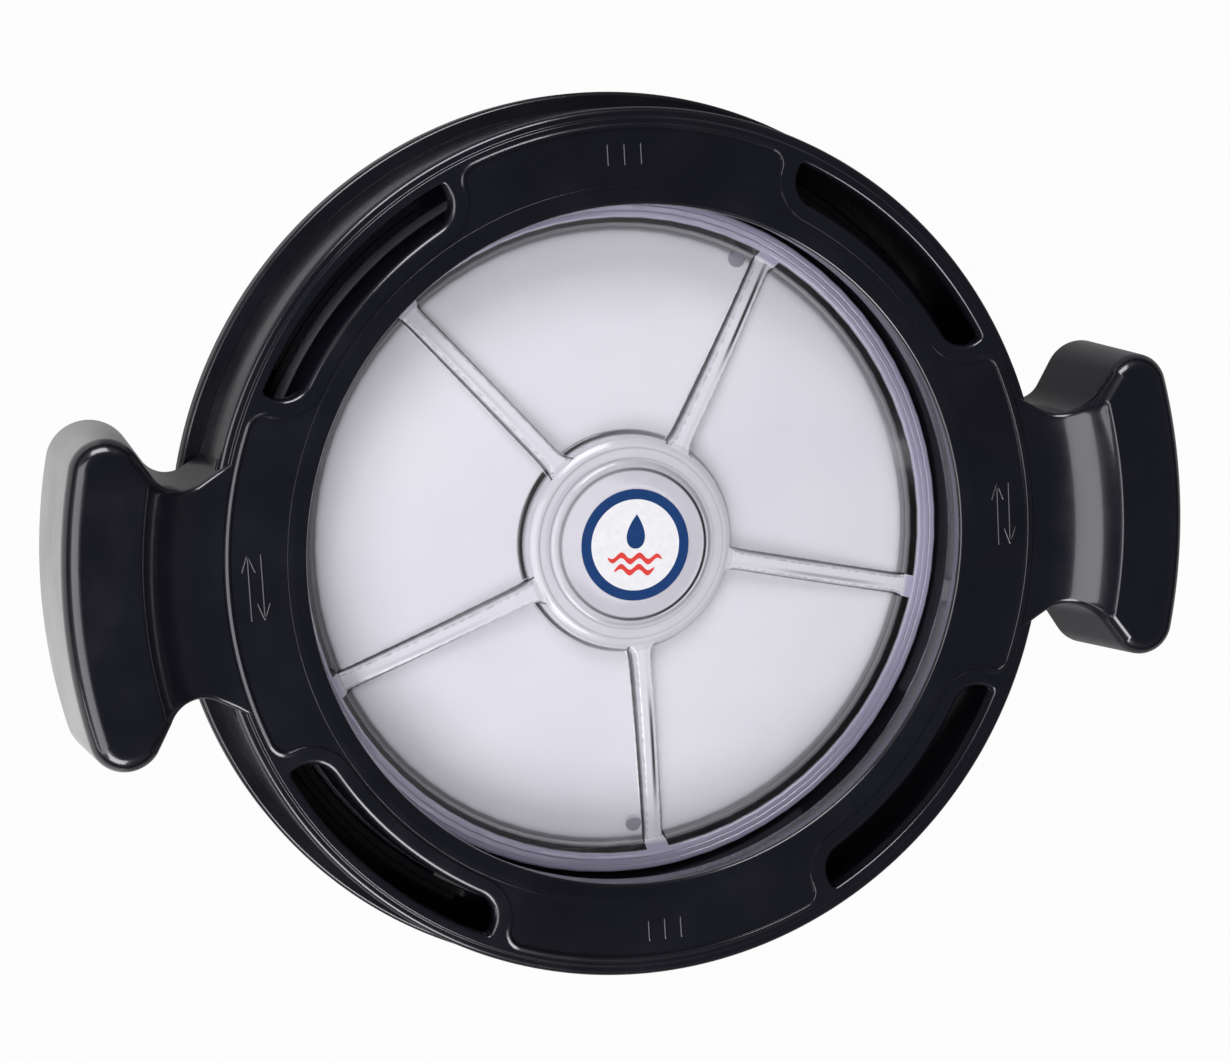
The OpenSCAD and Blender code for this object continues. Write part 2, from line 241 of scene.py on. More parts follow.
class Surface:
    """Points in millimetres, their tints and faces, gathered patch by patch into one mesh."""

    def __init__(self):
        """Nothing yet, and no tint."""
        self.points = []
        self.faces = []
        self.tints = []
        self.count = 0
        self.tint = (1, 1, 1)

    def add(self, points, faces, tint=None):
        """Points and the faces between them, with their own tint or the surface's."""
        points = np.asarray(points, float).reshape(-1, 3)
        self.points.append(points)
        self.faces.append(np.asarray(faces, int) + self.count)
        tint = self.tint if tint is None else np.reshape(tint, (-1, 3))
        self.tints.append(np.broadcast_to(tint, points.shape))
        self.count += len(points)

    def grid(self, points, round_rows=False, round_columns=False, tint=None):
        """Quads between the rows and columns of an array of points."""
        rows, columns = points.shape[:2]
        index = np.arange(rows * columns).reshape(rows, columns)
        if round_rows:
            index = np.vstack([index, index[:1]])
        if round_columns:
            index = np.hstack([index, index[:, :1]])
        quads = np.stack([index[:-1, :-1], index[1:, :-1], index[1:, 1:], index[:-1, 1:]], -1)
        self.add(points, quads.reshape(-1, 4), tint)

    def join(self, other, degrees):
        """Another surface's patches, turned about the axis."""
        base = 0
        for points, faces, tint in zip(other.points, other.faces, other.tints):
            self.add(turned(points, degrees), faces - base, tint)
            base += len(points)

    def revolve(self, section, tint=None):
        """A section of (radius, height) turned about the axis."""
        turn = np.arange(COLUMNS) * 2 * np.pi / COLUMNS
        directions = np.stack([np.cos(turn), np.sin(turn)], 1)
        self.grid(swept(section, directions), round_columns=True, tint=tint)

    def band(self, line, sides, out, heights):
        """A section carried along a closed line: each point stands out from it by its own amount."""
        out = np.broadcast_to(out, (len(line), np.shape(out)[-1]))
        heights = np.broadcast_to(heights, out.shape)
        plan = line[:, None] + sides[:, None] * out[:, :, None]
        self.grid(np.concatenate([plan, heights[:, :, None]], -1), round_rows=True)

    def fill(self, lines, height):
        """A flat face at a height: triangles whose middle is inside an odd number of closed lines."""
        points = np.vstack(lines)
        starts = np.cumsum([0] + [len(line) for line in lines])
        edges = np.vstack([
            np.stack([np.arange(a, b), np.roll(np.arange(a, b), -1)], 1)
            for a, b in zip(starts, starts[1:])
        ])
        flat, _, triangles, *_ = delaunay_2d_cdt(
            [Vector(p) for p in points], edges.tolist(), [], 0, 1e-6
        )
        flat = np.array([tuple(p) for p in flat])
        triangles = np.array([t for t in triangles if len(t) == 3])
        middle = flat[triangles].mean(1)
        a, b = points[edges[:, 0]], points[edges[:, 1]]
        x, y = middle[:, :1], middle[:, 1:]
        straddles = (a[:, 1] > y) != (b[:, 1] > y)
        rise = np.where(b[:, 1] == a[:, 1], 1, b[:, 1] - a[:, 1])
        crossing = a[:, 0] + (y - a[:, 1]) * (b[:, 0] - a[:, 0]) / rise
        inside = (straddles & (crossing > x)).sum(1) % 2 == 1
        self.add(np.column_stack([flat, np.full(len(flat), height)]), triangles[inside])

    def tube(self, sections):
        """Closed sections one after another, shut at both ends by drawing them to their middles."""
        first, last = sections[:1].mean(1, keepdims=True), sections[-1:].mean(1, keepdims=True)
        shape = sections[:1].shape
        shut = np.concatenate([
            np.broadcast_to(first, shape), sections, np.broadcast_to(last, shape),
        ])
        self.grid(shut, round_columns=True)

    def piece(self, name, material, body, slot, node, crease=32.0):
        """The gathered mesh as a smooth object that rides on a body and stands for a node."""
        data = bpy.data.meshes.new(name)
        points = np.vstack(self.points) * MM
        corners = np.concatenate([f.ravel() for f in self.faces])
        lengths = np.concatenate([np.full(len(f), f.shape[1]) for f in self.faces])
        data.vertices.add(len(points))
        data.vertices.foreach_set("co", points.ravel())
        data.loops.add(len(corners))
        data.loops.foreach_set("vertex_index", corners)
        data.polygons.add(len(lengths))
        data.polygons.foreach_set("loop_start", np.cumsum(lengths) - lengths)
        data.update(calc_edges=True)
        tint = data.attributes.new("tint", "FLOAT_COLOR", "POINT")
        tints = np.column_stack([np.vstack(self.tints), np.ones(len(points))])
        tint.data.foreach_set("color", tints.ravel())
        mesh = bmesh.new()
        mesh.from_mesh(data)
        bmesh.ops.remove_doubles(mesh, verts=mesh.verts, dist=2e-6)
        bmesh.ops.dissolve_degenerate(mesh, edges=mesh.edges, dist=5e-7)
        bmesh.ops.recalc_face_normals(mesh, faces=mesh.faces)
        mesh.to_mesh(data)
        mesh.free()
        data.shade_smooth()
        data.set_sharp_from_angle(angle=radians(crease))
        data.materials.append(material)
        obj = bpy.data.objects.new(name, data)
        bpy.context.scene.collection.objects.link(obj)
        weigh = obj.modifiers.new("even shading", "WEIGHTED_NORMAL")
        weigh.keep_sharp = True
        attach(obj, body)
        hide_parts(node)


def turned(points, degrees):
    """Points turned about the ring axis."""
    c, s = cos(radians(degrees)), sin(radians(degrees))
    x, y = points[..., 0], points[..., 1]
    out = np.array(points, float)
    out[..., 0] = c * x - s * y
    out[..., 1] = s * x + c * y
    return out


# ---- materials ----

def new_material(name):
    """An empty node material, and its tree's nodes and links."""
    material = bpy.data.materials.new(name)
    material.use_nodes = True
    nodes, links = material.node_tree.nodes, material.node_tree.links
    nodes.clear()
    return material, nodes, links


def principled(nodes, links, **values):
    """A Principled shader joined to the output, with the named sockets set."""
    shader = nodes.new("ShaderNodeBsdfPrincipled")
    for key, value in values.items():
        shader.inputs[key.replace("_", " ")].default_value = value
    output = nodes.new("ShaderNodeOutputMaterial")
    links.new(shader.outputs[0], output.inputs["Surface"])
    return shader


def noise(nodes, links, scale, detail=3.0, stretch=(1, 1, 1)):
    """Noise over Object coordinates, stretched along the axes."""
    where = nodes.new("ShaderNodeTexCoord")
    mapping = nodes.new("ShaderNodeMapping")
    mapping.inputs["Scale"].default_value = stretch
    links.new(where.outputs["Object"], mapping.inputs["Vector"])
    texture = nodes.new("ShaderNodeTexNoise")
    texture.inputs["Scale"].default_value = scale
    texture.inputs["Detail"].default_value = detail
    links.new(mapping.outputs[0], texture.inputs["Vector"])
    return texture.outputs["Fac"]


def tone(nodes, links, source, stops):
    """A colour ramp over a value, from (place, colour or grey) stops."""
    node = nodes.new("ShaderNodeValToRGB")
    links.new(source, node.inputs["Fac"])
    elements = node.color_ramp.elements
    while len(elements) < len(stops):
        elements.new(1.0)
    for element, (place, colour) in zip(elements, stops):
        element.position = place
        element.color = (*np.broadcast_to(colour, 3), 1.0)
    return node.outputs["Color"]


def bump(nodes, links, shader, source, distance, strength=1.0):
    """Small relief of a shader's surface from a height between 0 and 1."""
    node = nodes.new("ShaderNodeBump")
    node.inputs["Strength"].default_value = strength
    node.inputs["Distance"].default_value = distance
    links.new(source, node.inputs["Height"])
    links.new(node.outputs[0], shader.inputs["Normal"])


def tinted(nodes, links, source):
    """A colour times the mesh's own tint, which also carries painted shade, a painted highlight and
    painted refraction lines.
    """
    tint = nodes.new("ShaderNodeAttribute")
    tint.attribute_name = "tint"
    mix = nodes.new("ShaderNodeMix")
    mix.data_type = "RGBA"
    mix.blend_type = "MULTIPLY"
    mix.inputs["Factor"].default_value = 1.0
    links.new(source, mix.inputs["A"])
    links.new(tint.outputs["Color"], mix.inputs["B"])
    return mix.outputs["Result"]


def black_plastic(name, colour, gloss, coat):
    """Glossy black moulding: flow clouds in the colour, patchy gloss and a fine orange peel.

    Gloss is the roughness of the shiniest and of the dullest patches.
    """
    material, nodes, links = new_material(name)
    shader = principled(nodes, links, Coat_Weight=coat, Coat_Roughness=0.09, IOR=1.5)
    clouds = noise(nodes, links, 22, detail=4, stretch=(1, 1, 0.4))
    shades = [(0.3, 0.8 * np.array(colour)), (0.7, 1.25 * np.array(colour))]
    links.new(tinted(nodes, links, tone(nodes, links, clouds, shades)), shader.inputs["Base Color"])
    patches = noise(nodes, links, 60, detail=6)
    links.new(
        tone(nodes, links, patches, [(0.35, gloss[0]), (0.7, gloss[1])]), shader.inputs["Roughness"]
    )
    bump(nodes, links, shader, noise(nodes, links, 900, detail=2), 0.00002, 0.35)
    return material


def clear_plastic(name):
    """Clear moulding gone faintly lilac and milky, with cloudy frost and fine scuffs."""
    material, nodes, links = new_material(name)
    shader = principled(
        nodes, links, Transmission_Weight=0.45, IOR=1.49, Coat_Weight=0.4, Coat_Roughness=0.06
    )
    lilac = [(0.3, (0.88, 0.87, 0.93)), (0.7, (0.95, 0.935, 0.98))]
    clouds = tone(nodes, links, noise(nodes, links, 16, detail=3), lilac)
    links.new(tinted(nodes, links, clouds), shader.inputs["Base Color"])
    frost = noise(nodes, links, 90, detail=5)
    links.new(tone(nodes, links, frost, [(0.3, 0.14), (0.7, 0.26)]), shader.inputs["Roughness"])
    bump(nodes, links, shader, noise(nodes, links, 420, detail=3), 0.00002, 0.3)
    return material


def seal_rubber(name):
    """Matt black rubber with a dusty bloom."""
    material, nodes, links = new_material(name)
    shader = principled(nodes, links, Specular_IOR_Level=0.35)
    bloom = noise(nodes, links, 130, detail=5)
    shades = [(0.35, (0.010, 0.010, 0.011)), (0.75, (0.024, 0.024, 0.026))]
    links.new(tone(nodes, links, bloom, shades), shader.inputs["Base Color"])
    links.new(tone(nodes, links, bloom, [(0.3, 0.5), (0.7, 0.72)]), shader.inputs["Roughness"])
    bump(nodes, links, shader, noise(nodes, links, 1500, detail=2), 0.00003, 0.5)
    return material


def printed_film(name, colour):
    """Printed plastic film: an even ink with a faint grain and a soft shine."""
    material, nodes, links = new_material(name)
    shader = principled(nodes, links, Coat_Weight=0.3, Coat_Roughness=0.2)
    grain = noise(nodes, links, 700, detail=4)
    ink = [(0.3, 0.93 * np.array(colour)), (0.7, np.array(colour))]
    links.new(tone(nodes, links, grain, ink), shader.inputs["Base Color"])
    links.new(tone(nodes, links, grain, [(0.3, 0.3), (0.7, 0.42)]), shader.inputs["Roughness"])
    return material


# ---- cam ring ----

def slot_line(angle):
    """Edge of a slot: inner corners rounded widely, outer corners a little."""
    half = radians(SLOT_HALF) * SLOT_MIDDLE
    wide, small = SLOT_CORNER, 1.0
    line = np.vstack([
        arc((half - wide, SLOT_IN + wide), wide, -90, 0, 12),
        arc((half - small, SLOT_OUT - small), small, 0, 90, 4),
        arc((small - half, SLOT_OUT - small), small, 90, 180, 4),
        arc((wide - half, SLOT_IN + wide), wide, 180, 270, 12),
    ])
    return wrapped(spaced(line, 1.5)[::-1], angle, SLOT_MIDDLE)


def recess_line():
    """Border of the sunk panels and of the groove below the slots: one closed line round the axis.

    At each slot it follows a circle about the centre of the slot's rounded inner corner, and
    turns through a second, tangent circle into the outer border of the panel.
    """
    start = radians(45 - SLOT_HALF) * SLOT_MIDDLE + SLOT_CORNER
    slot_c = np.array([start * PANEL_MIDDLE / SLOT_MIDDLE, SLOT_IN + SLOT_CORNER])
    reach_r = slot_c[1] - RECESS_IN
    lift = RECESS_OUT - BORDER_ROUND - slot_c[1]
    across = np.sqrt((reach_r + BORDER_ROUND) ** 2 - lift ** 2)
    corner_c = slot_c + (-across, lift)
    turn = np.degrees(np.arctan2(-lift, across))
    half = np.vstack([
        arc(corner_c, BORDER_ROUND, 90, turn, 10),
        arc(slot_c, reach_r, 180 + turn, 270, 16),
    ])
    quarter = np.pi / 2 * PANEL_MIDDLE
    mirrored = np.stack([quarter - half[::-1, 0], half[::-1, 1]], 1)
    line = np.vstack([
        np.vstack([half, mirrored]) + (k * quarter, 0) for k in range(4)
    ])
    ahead = np.roll(line, -1, 0)
    ahead[-1, 0] += 4 * quarter
    return wrapped(divided(line, ahead, (ahead - line)[:, 0], 1.6), 0, PANEL_MIDDLE)


def ring_top(ring):
    """Raised top face with the four slots, the sunk border line, its floor and the rim."""
    slots = [slot_line(45 + 90 * k) for k in range(4)]
    border = recess_line()
    border_out = side_of(border)
    wells = []
    turn = np.linspace(0, np.pi / 2, 7)
    for line in slots:
        sides = side_of(line)
        far = np.hypot(*line.T)
        width = np.interp(far, [SLOT_IN, 106, SLOT_OUT], [1.9, 1.3, 0.9])[:, None]
        out = np.hstack([width * (1 - np.sin(turn)), np.zeros((len(line), 1))])
        heights = RING_TOP - width * (1 - np.cos(turn))
        heights = np.hstack([heights, np.full((len(line), 1), PLATE_LOW)])
        ring.band(line, sides, out, heights)
        wells.append(line + sides * width)
    step = np.array([1.5, 1.25, 1.0, 0.75, 0.5, 0.28, 0.12, 0.0, -0.08, -0.16, -0.26, -0.4])
    fall = np.array([0, 0.03, 0.11, 0.21, 0.28, 0.28, 0.2, 0.04, -0.2, -0.45, -0.57, -0.6])
    far = np.hypot(*border.T)[:, None]
    bead = np.clip((far - 103) / 4, 0.0, 1.0)
    fall = np.where(fall > 0, fall * bead, fall)
    ring.band(border, border_out, step, RING_TOP + fall)
    ring.fill([circle(TOP_OUT), border + border_out * step[0]] + wells, RING_TOP)
    ring.fill([border + border_out * step[-1], circle(RIM_OUT)], RECESS_FLOOR)
    ring.fill([circle(PRESS_TOP_R), circle(SKIRT_IN)] + slots, PLATE_LOW)


def ring_body():
    """The clamp ring without its handles."""
    ring = Surface()
    ring_top(ring)
    shoulder = rounded(
        [
            (TOP_OUT, RING_TOP), (TOP_OUT + 0.3, RING_TOP), (TOP_OUT + 0.9, RING_TOP - 0.6),
            (RING_R - 0.5, RING_TOP - 0.6), (RING_R, SKIRT_FOOT), (SKIRT_IN + 0.4, SKIRT_FOOT),
            (SKIRT_IN + 0.4, 21), (SKIRT_IN, 21.4), (SKIRT_IN, PLATE_LOW),
        ],
        [0.4, 0.35, 1.4, 0.6, 0.6, 0.1, 0.1], steps=6,
    )
    inside = rounded(
        [
            (RIM_OUT, RECESS_FLOOR), (RIM_OUT - 0.12, RIM_TOP), (RIM_OUT - 1.6, RIM_TOP),
            (OPENING_R, RIM_TOP - 0.5), (OPENING_R + 1.0, 30.2), (OPENING_R + 1.3, 29.7),
            (OPENING_R + 1.3, INNER_LOW), (92, INNER_LOW), (92, PLATE_LOW), (PRESS_IN, PLATE_LOW),
            (PRESS_IN, PRESS_FOOT), (PRESS_OUT, PRESS_FOOT), (PRESS_TOP_R, PLATE_LOW),
        ],
        [0.12, 1.0, 1.0, 0.15, 0.15, 0.5, 0.5, 0.6, 0.6, 0.5, 0.3], steps=5,
    )
    ring.revolve(shoulder)
    ring.revolve(inside[:-1])
    # The press wall's outer face, tinted paler over its lower part: a painted highlight standing for
    # light that falls on it through the slots
    rows = 41
    pale = np.interp(np.linspace(0, 1, rows), [0.0, 0.03, 0.42, 0.46], [0, 1, 1, 0])
    tint = 1 + pale[:, None, None] * np.array([88, 82, 58])
    press = np.linspace(inside[-2], inside[-1], rows)
    ring.revolve(press, tint=np.broadcast_to(tint, (rows, COLUMNS, 3)))
    rib = box_sections((99.7, SKIRT_IN + 0.5), (-1.1, 1.1), (18.5, 32.5))
    lug = climbing_sections(105.3, SKIRT_IN + 1.2, LUG_SPAN, (LUG_FLOOR, LUG_FLOOR), (9.16, 11.61))
    for quarter in (0, 90, 180, 270):
        for angle in (-20, -10, 0, 10, 20):
            ring.tube(turned(rib, quarter + angle))
        ring.tube(turned(lug, quarter))
    return ring


def box_sections(along, across, up):
    """Sections across a bar along X with chamfered edges."""
    y0, y1 = across
    z0, z1 = up
    c = 0.25
    section = np.array([
        (y0 + c, z0), (y1 - c, z0), (y1, z0 + c), (y1, z1 - c),
        (y1 - c, z1), (y0 + c, z1), (y0, z1 - c), (y0, z0 + c),
    ])
    place = np.array([along[0], along[0] + c, along[1] - c, along[1]])
    middle = section.mean(0)
    end = 1 - 2 * c / min(y1 - y0, z1 - z0)
    size = np.array([end, 1, 1, end])
    plan = middle + (section - middle)[None] * size[:, None, None]
    return np.concatenate([np.broadcast_to(place[:, None, None], (4, 8, 1)), plan], -1)


def climbing_sections(inner, outer, angles, floors, roofs, steps=14):
    """Sections of a block between two radii; its floor and roof climb evenly with the angle."""
    turn = np.radians(np.linspace(*angles, steps + 1))
    floor = np.linspace(*floors, steps + 1)[:, None]
    roof = np.linspace(*roofs, steps + 1)[:, None]
    c = 0.3
    radius = np.array([inner + c, outer - c, outer, outer, outer - c, inner + c, inner, inner])
    share = np.array([0, 0, 0, 1, 1, 1, 1, 0])
    nudge = np.array([0, 0, c, -c, 0, 0, -c, c])
    height = floor + (roof - floor) * share + nudge
    return np.stack([
        radius * np.cos(turn)[:, None], radius * np.sin(turn)[:, None], height,
    ], -1)


def scoop_height(radius):
    """Top of a handle at a distance from the axis: flat neck, hollow arc of the scoop, flat grip.

    The arc starts level at the scoop's start and meets the grip's top at its end in a firm edge.
    """
    run, rise = SCOOP_END - SCOOP_START, GRIP_TOP - RING_TOP
    bend = (run ** 2 + rise ** 2) / (2 * rise)
    x = np.clip(radius - SCOOP_START, 0, run)
    return RING_TOP + bend - np.sqrt(bend ** 2 - x ** 2)


def handle_side():
    """One side of a handle from its root to the outer edge: notch arc, straight flank, lobe.

    The flank is the common inner tangent of the notch's circle and the lobe's. The root is
    where the notch's own tangent, drawn on under the ring's top, meets the root's circle.
    """
    notch, lobe = np.array(NOTCH_C), np.array(LOBE_C)
    apart = notch - lobe
    lean = np.degrees(np.arctan2(apart[1], apart[0]))
    touch = lean - np.degrees(np.arccos((LOBE_R + NOTCH_R) / np.hypot(*apart)))
    end = np.degrees(np.arctan2(lobe[1], lobe[0]))
    curve = arc(notch, NOTCH_R, -122, touch - 180, 22)
    run = curve[0] - curve[1]
    run /= np.hypot(*run)
    inward = curve[0] @ run
    length = -inward - np.sqrt(inward ** 2 - curve[0] @ curve[0] + ROOT_R ** 2)
    lead = np.linspace(length, 0, 9)[:-1, None] * run + curve[0]
    return np.vstack([lead, curve, arc(lobe, LOBE_R, touch, end, 30)])


def handle_outline():
    """A handle's closed outline in plan, anticlockwise; the points of a side; which are the root's."""
    side = handle_side()
    first, last = side[0], side[-1]
    root_r, out_r = np.hypot(*first), np.hypot(*last)
    half_root, half_out = (np.degrees(np.arctan2(p[1], p[0])) for p in (first, last))
    lower = side * (1, -1)
    outer = arc((0, 0), out_r, -half_out, half_out, ARC_STEPS)[1:-1]
    root = arc((0, 0), root_r, half_root, -half_root, ARC_STEPS)[1:-1]
    line = np.vstack([lower, outer, side[::-1], root])
    return line, len(side), np.arange(len(line)) >= len(line) - len(root)


def rows_between(line, rows):
    """Arcs about the axis from each point of a handle's lower side to its twin on the upper side."""
    lower = line[:rows]
    radius = np.hypot(*lower.T)[:, None]
    turn = np.arctan2(lower[:, 1], lower[:, 0])[:, None] * np.linspace(1, -1, ARC_STEPS + 1)
    return np.stack([radius * np.cos(turn), radius * np.sin(turn)], -1)


def handle_shell(direction):
    """Hollow handle: domed top with rounded edges, drafted walls, open below, two cross ribs."""
    shell = Surface()
    line, rows, on_root = handle_outline()
    sides = side_of(line)
    far = np.hypot(*line.T)
    width = np.interp(far, [TOP_OUT, 114, 124, 134, 142], [0.9, 1.4, 2.0, 3.4, 4.4])
    width[on_root] = 0.0
    sides[on_root] = -(line / far[:, None])[on_root]
    top = line - sides * width[:, None]
    plan = rows_between(top, rows)
    # The top stands a hair proud, so that the neck covers the ring's top without a seam line
    height = scoop_height(np.hypot(plan[..., 0], plan[..., 1]))
    height = np.minimum(height + HANDLE_PROUD, GRIP_TOP)
    shell.grid(np.concatenate([plan, height[..., None]], -1))
    turn = np.linspace(0, np.pi / 2, 8)
    band = width[:, None] * np.sin(turn)
    where = top[:, None] + sides[:, None] * band[..., None]
    level = scoop_height(np.hypot(where[..., 0], where[..., 1]))
    level = np.minimum(level + HANDLE_PROUD, GRIP_TOP) - width[:, None] * (1 - np.cos(turn))
    edge = np.concatenate([where, level[..., None]], -1)
    # Walls: outward draft down to the foot, and on the root a step back behind the skirt
    share = np.array([0.0, 0.25, 0.5, 0.75, 1.0])
    start = level[:, -1]
    flare = np.where(on_root, BEHIND_SKIRT, FLARE)
    out = np.where(on_root[:, None], BEHIND_SKIRT * (share > 0.3), flare[:, None] * share)
    foot = GRIP_FOOT + 0.6
    drop = start[:, None] + (foot - start[:, None]) * share
    drop[on_root] = [start[-1], PLATE_LOW + 0.6, PLATE_LOW + 0.6, 20, foot]
    foot_out = flare[:, None] - [0.05, 0.2, 0.6, HANDLE_WALL - 0.5, HANDLE_WALL]
    foot_z = np.broadcast_to(GRIP_FOOT + np.array([0.3, 0.1, 0, 0, 0.4]), foot_out.shape)
    ceiling_out = np.where(on_root, ROOT_BACK, -HANDLE_WALL)
    hollow = line + sides * ceiling_out[:, None]
    ceiling = scoop_height(np.hypot(*hollow.T)) - HANDLE_WALL - 0.4
    out = np.maximum(np.hstack([out, foot_out, ceiling_out[:, None]]), ROOT_BACK)
    drop = np.hstack([drop, foot_z, ceiling[:, None]])
    walls = np.concatenate([line[:, None] + sides[:, None] * out[..., None], drop[..., None]], -1)
    shell.grid(np.concatenate([edge, walls[:, 1:]], 1), round_rows=True)
    plan = rows_between(hollow, rows)
    under = scoop_height(np.hypot(plan[..., 0], plan[..., 1])) - HANDLE_WALL - 0.4
    shell.grid(np.concatenate([plan, under[..., None]], -1))
    for y in (-13, 13):
        x = np.linspace(RING_R - 1, GRIP_R - 2, 24)
        roof = scoop_height(np.hypot(x, y)) - 1.2
        low = np.full(len(x), GRIP_FOOT + 3.0)
        shell.tube(np.stack([
            np.stack([x, np.full(len(x), y + dy), z], -1)
            for dy, z in ((-1.1, low), (1.1, low), (1.1, roof), (-1.1, roof))
        ], 1))
    shell.points = [turned(p, direction) for p in shell.points]
    return shell


def raised_bar(surface, start, end):
    """A slim rounded bar on a panel: half-round sections from start to end, drawn in at both ends."""
    start, end = np.array(start, float), np.array(end, float)
    length = np.hypot(*(end - start))
    along = (end - start) / length
    across = np.array([-along[1], along[0]])
    turn = np.linspace(0, np.pi, 7)
    place = np.array([0, 0.15, 0.5, 1.0]) * MARK_WIDTH
    stations = np.concatenate([place, length - place[::-1]])
    size = np.concatenate([[0.35, 0.75, 0.95, 1], [1, 0.95, 0.75, 0.35]])
    centre = start + stations[:, None] * along
    side = MARK_WIDTH / 2 * np.cos(turn)[None] * size[:, None]
    plan = centre[:, None] + side[..., None] * across
    height = RECESS_FLOOR - 0.1 + (MARK_RISE + 0.1) * np.sin(turn)[None] * size[:, None]
    surface.tube(np.concatenate([plan, height[..., None]], -1))


def panel_marks(ring):
    """Turning arrows on the two handle panels, and plain index dashes on the other two."""
    arrows, dashes = Surface(), Surface()
    for x, way in ((101.2, 1), (104.6, -1)):
        tip = 8.5 * way
        raised_bar(arrows, (x, -tip), (x, tip))
        for lean in (-1.7, 1.7):
            raised_bar(arrows, (x, tip), (x + lean, tip - 4.6 * way))
    for y in (-4.5, 0, 4.5):
        raised_bar(dashes, (99.8, y), (105.6, y))
    for turn in (0, 180):
        ring.join(arrows, turn)
        ring.join(dashes, turn + 90)


# ---- ramp ring ----

def make_ramp_ring():
    """Lower ring: flange with a ribbed groove below, four walls with their ramps, four bayonet lugs."""
    ring = Surface()
    ring.revolve(rounded(
        [
            (WALL_IN, 4), (WALL_IN, 0), (107.5, 0), (107.5, 3.6), (116.9, 3.6), (116.9, 0),
            (FLANGE_R, 0), (FLANGE_R, 6), (105, 6), (105, 8), (WALL_IN, 8), (WALL_IN, 4),
        ],
        [0.3, 0.3, 0.3, 0.3, 0.3, 0.4, 1.1, 0.5, 0.3, 0.3], steps=5,
    ))
    wall = climbing_sections(WALL_IN, 105, WALL_SPAN, (7, 7), (RAMP_TOP, RAMP_TOP), 24)
    under_top = RAMP_TOP - 0.4
    ramp = climbing_sections(104.4, 107, RAMP_SPAN, (8.2, 11.7), (under_top, under_top), 24)
    lug = climbing_sections(96, WALL_IN + 0.5, BAYONET_SPAN, (0.2, 0.2), (3.8, 3.8), 12)
    groove_rib = box_sections((107.2, 117.2), (-1.1, 1.1), (0.2, 3.8))
    for k in range(4):
        for part in (wall, ramp, lug):
            ring.tube(turned(part, 90 * k))
    for k in range(24):
        ring.tube(turned(groove_rib, 15 * k))
    ring.piece("ramp_ring_moulding", ramp_black, "ramp_ring", "ramp_plastic", "ramp_ring")


# ---- lid ----

def ball_cap(radius, r1, z1, r2, z2):
    """Height of a shallow cap over a distance from the axis, through two of its points."""
    return z1 + (z2 - z1) * (radius ** 2 - r1 ** 2) / (r2 ** 2 - r1 ** 2)


def lid_rows():
    """Distances from the axis of the lid's rows, close together at the hub's and curb's edges."""
    hub = np.concatenate([
        np.arange(19.0, 21.5, 0.15), [21.8, 22.2, 22.6, 22.9, 23.2], np.arange(23.6, 27.2, 0.4),
        np.arange(27.3, 30.2, 0.15),
    ])
    floor = np.linspace(30.4, 81.3, 64)
    curb = np.concatenate([
        np.arange(81.6, 83.3, 0.25), np.arange(83.4, 86.6, 0.15),
        np.arange(86.7, 91.0, 0.15), [91.1, 91.25, 91.4, 91.5],
    ])
    return np.concatenate([hub, floor, curb])


def lid_columns(radius):
    """Angles of the lid's columns at each row, how far each stands across its rib, and which rib.

    Near a rib a column keeps its distance d from the rib's middle line, so its angle is the
    arcsine of d / radius; d grows where the rib flares into the hub and the curb. Between
    two ribs the angles are evenly spaced, and the distance across is given as 9 mm.
    """
    near = np.array([
        0.3, 0.6, 0.9, 1.2, 1.5, 1.7, 1.85, 2.0, 2.1, 2.25,
        2.4, 2.6, 2.75, 2.85, 3.0, 3.3, 3.8, 4.8, 6.2,
    ])
    near = np.concatenate([-near[::-1], [0], near])
    flare = 1.5 * np.exp(-np.maximum(radius - HUB_FOOT, 0) / 1.4)
    flare = flare + 0.6 * np.exp(-np.maximum(CURB_IN - 0.4 - radius, 0) / 1.0)
    size = np.abs(near)
    grow = np.where(size < 2, size / 2, np.clip((6.2 - size) / 4.2, 0, 1)) * np.sign(near)
    along = np.arcsin((near + grow * flare[:, None]) / radius[:, None])
    turn = 2 * np.pi / RIBS
    free = 11
    share = np.linspace(0, 1, free + 2)[1:-1]
    between = along[:, -1:] * (1 - share) + (turn + along[:, :1]) * share
    sector = np.hstack([along, between])
    across = np.concatenate([near, np.full(free, 9.0)])
    angles = np.hstack([sector + k * turn for k in range(RIBS)]) + radians(RIB_START)
    rib = np.repeat(np.arange(RIBS), len(across))
    return angles, np.tile(across, RIBS), rib


def ridge(value, middle, half, power=2):
    """1 where a value is at the middle, falling to 1/e at half to either side; steeper by power."""
    return np.exp(-((value - middle) / half) ** power)


